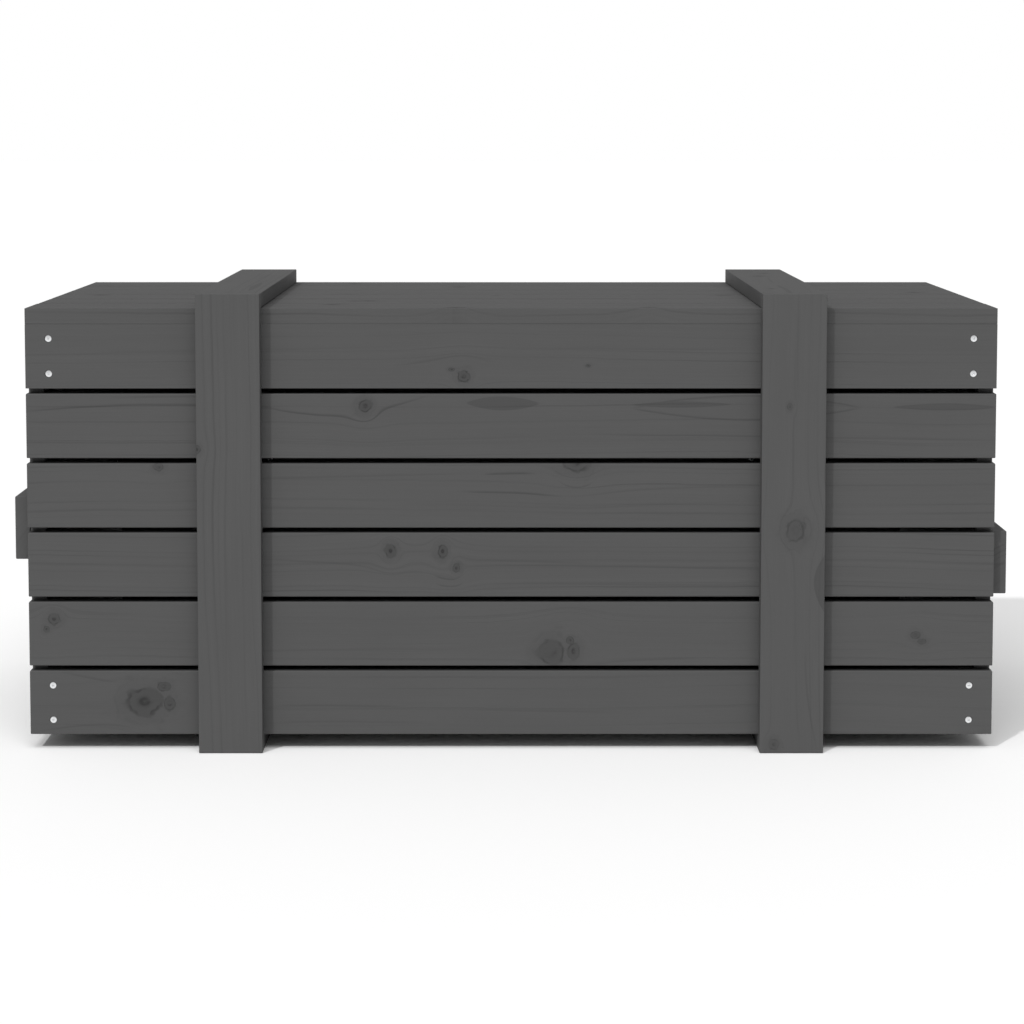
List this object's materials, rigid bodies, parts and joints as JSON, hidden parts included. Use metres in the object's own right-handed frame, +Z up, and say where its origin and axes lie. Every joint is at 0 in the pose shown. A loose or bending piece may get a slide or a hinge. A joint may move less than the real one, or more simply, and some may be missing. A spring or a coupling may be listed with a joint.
{
  "type": "toy box",
  "caption": "Slatted wooden toy box with a hinged lid that opens upwards, batten handles on its ends and two upright straps front and back.",
  "frame": {"origin": "on the ground, under the middle of the box's overall bounding box", "axes": "+X along the box's length, +Y from its front to its back, where the hinges are, and +Z up"},
  "size_m": [0.91, 0.405, 0.42],
  "materials": {
    "painted_pine": "satin grey paint, with the grain and knots of the pine showing through",
    "painted_plywood": "the same grey paint on plywood, with a faint grain",
    "hinge_steel": "zinc plated, satin",
    "zinc_screw": "zinc plated, bright"
  },
  "bodies": {
    "box": {"front_slat_1": "painted_pine", "front_slat_2": "painted_pine", "front_slat_3": "painted_pine", "front_slat_4": "painted_pine", "front_slat_5": "painted_pine", "front_slat_6": "painted_pine", "back_slat_1": "painted_pine", "back_slat_2": "painted_pine", "back_slat_3": "painted_pine", "back_slat_4": "painted_pine", "back_slat_5": "painted_pine", "back_slat_6": "painted_pine", "left_slat_1": "painted_pine", "left_slat_2": "painted_pine", "left_slat_3": "painted_pine", "left_slat_4": "painted_pine", "left_slat_5": "painted_pine", "left_slat_6": "painted_pine", "right_slat_1": "painted_pine", "right_slat_2": "painted_pine", "right_slat_3": "painted_pine", "right_slat_4": "painted_pine", "right_slat_5": "painted_pine", "right_slat_6": "painted_pine", "post_front_left": "painted_pine", "post_front_right": "painted_pine", "post_back_left": "painted_pine", "post_back_right": "painted_pine", "strap_front_left": "painted_pine", "strap_front_right": "painted_pine", "strap_back_left": "painted_pine", "strap_back_right": "painted_pine", "foot_batten_left": "painted_pine", "foot_batten_right": "painted_pine", "floor_panel": "painted_plywood", "handle_left": "painted_pine", "handle_right": "painted_pine", "hinge_leaf_box_left": "hinge_steel", "hinge_leaf_box_right": "hinge_steel", "hinge_pin_left": "hinge_steel", "hinge_pin_right": "hinge_steel", "corner_screw_left_1": "zinc_screw", "corner_screw_left_2": "zinc_screw", "corner_screw_left_3": "zinc_screw", "corner_screw_left_4": "zinc_screw", "corner_screw_right_1": "zinc_screw", "corner_screw_right_2": "zinc_screw", "corner_screw_right_3": "zinc_screw", "corner_screw_right_4": "zinc_screw"},
    "lid": {"lid_board_1": "painted_pine", "lid_board_2": "painted_pine", "lid_board_3": "painted_pine", "lid_board_4": "painted_pine", "lid_board_5": "painted_pine", "lid_board_6": "painted_pine", "lid_batten_left": "painted_pine", "lid_batten_right": "painted_pine", "hinge_leaf_lid_left": "hinge_steel", "hinge_leaf_lid_right": "hinge_steel"}
  },
  "joints": [
    {"name": "lid_hinge", "type": "hinge", "parent": "box", "child": "lid", "pos_m": [0, 0.1918, 0.39185], "axis": [-1, 0, 0], "range_deg": [0, 105]}
  ]
}
